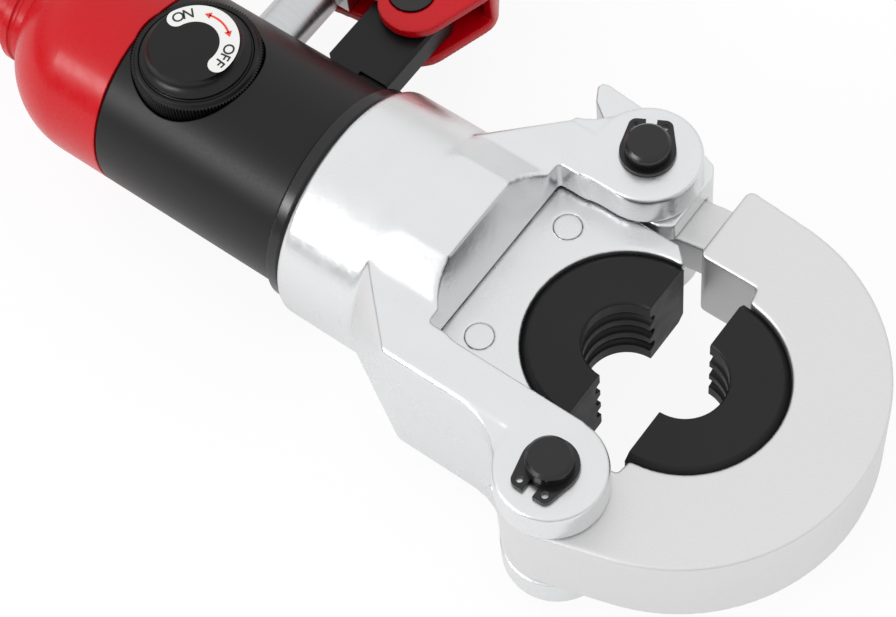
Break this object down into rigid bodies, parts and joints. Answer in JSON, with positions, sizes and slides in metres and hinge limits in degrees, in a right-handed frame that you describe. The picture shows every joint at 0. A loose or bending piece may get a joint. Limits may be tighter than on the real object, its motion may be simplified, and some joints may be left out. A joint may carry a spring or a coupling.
{
  "type": "hydraulic crimping tool",
  "caption": "Hand-pumped hydraulic crimping tool: swivelling fork head with hinged C jaw and half dies, pump body, release knob, lever and handle.",
  "frame": {"origin": "on the crimping axis of the fixed die, halfway through its width", "axes": "+X towards the tip of the head, +Y towards the pump lever, +Z out of the release knob's side"},
  "size_m": [0.6217, 0.3807, 0.0806],
  "materials": {
    "black_housing": "matt black coating on steel",
    "gloss_black": "gloss black oxide",
    "red_paint": "gloss red paint",
    "plated_casting": "satin nickel plate on forged steel",
    "black_oxide_steel": "black oxide on hardened steel",
    "ground_steel": "ground steel",
    "chrome_rod": "hard chrome",
    "knob_black": "moulded black knob",
    "black_rubber": "soft rubber",
    "spring_steel": "spring wire"
  },
  "bodies": {
    "pump": {"pump_body": "black_housing", "body_end_ring": "gloss_black", "ram_gland": "ground_steel", "swivel_ring": "spring_steel", "reservoir_housing": "red_paint", "reservoir_bladder": "black_rubber", "handle_tube": "red_paint", "handle_grip": "black_rubber", "pivot_bracket": "black_housing", "plunger_seal": "black_rubber", "suction_ball": "ground_steel", "delivery_ball": "ground_steel", "release_ball": "ground_steel"},
    "knob": {"release_knob": "knob_black", "release_stem": "ground_steel"},
    "head": {"head_fork": "plated_casting", "hinge_pin": "black_oxide_steel", "hinge_circlip_top": "black_oxide_steel", "hinge_circlip_bottom": "black_oxide_steel", "latch_pin": "black_oxide_steel", "latch_circlip_top": "black_oxide_steel", "latch_circlip_bottom": "black_oxide_steel", "latch_spring": "spring_steel"},
    "latch": {"latch": "plated_casting"},
    "ram": {"ram_piston": "ground_steel", "piston_seal": "black_rubber", "ram_spring": "spring_steel", "die_holder": "plated_casting", "holder_dowel_left": "ground_steel", "holder_dowel_right": "ground_steel", "moving_die": "black_oxide_steel", "moving_die_peg": "ground_steel"},
    "jaw": {"c_jaw": "plated_casting", "fixed_die": "black_oxide_steel", "fixed_die_peg": "ground_steel"},
    "lever": {"lever_yoke": "red_paint", "lever_pivot_pin": "black_oxide_steel", "plunger_link_pin": "ground_steel", "lever_tube": "red_paint", "lever_grip": "black_rubber"},
    "plunger": {"pump_plunger": "chrome_rod"}
  },
  "joints": [
    {"name": "head_swivel", "type": "hinge", "parent": "pump", "child": "head", "pos_m": [-0.11, 0, 0], "axis": [1, 0, 0], "range_deg": [-175, 175]},
    {"name": "ram_advance", "type": "slide", "parent": "head", "child": "ram", "axis": [1, 0, 0], "range_m": [0, 0.021], "stiffness_N_per_m": 2500, "springref_m": -0.01, "deforming": ["ram_spring"]},
    {"name": "jaw_open", "type": "hinge", "parent": "head", "child": "jaw", "pos_m": [-0.0115, -0.0505, 0], "axis": [0, 0, -1], "range_deg": [0, 100]},
    {"name": "latch_release", "type": "hinge", "parent": "head", "child": "latch", "pos_m": [-0.0475, 0.0505, 0], "axis": [0, 0, 1], "range_deg": [0, 18], "stiffness_Nm_per_rad": 0.6, "springref_deg": -20.05},
    {"name": "knob_turn", "type": "hinge", "parent": "pump", "child": "knob", "pos_m": [-0.1817, 0, 0.03], "axis": [0, 0, 1], "range_deg": [0, 90]},
    {"name": "lever_pump", "type": "hinge", "parent": "pump", "child": "lever", "pos_m": [-0.1526, 0.069, 0], "axis": [0, 0, 1], "range_deg": [0, 25]},
    {"name": "plunger_stroke", "type": "slide", "parent": "pump", "child": "plunger", "axis": [0, -1, 0], "range_m": [0, 0.01425]}
  ],
  "couplings": [
    {"joint": "plunger_stroke", "follows": "lever_pump", "m_per_rad": 0.032508}
  ]
}
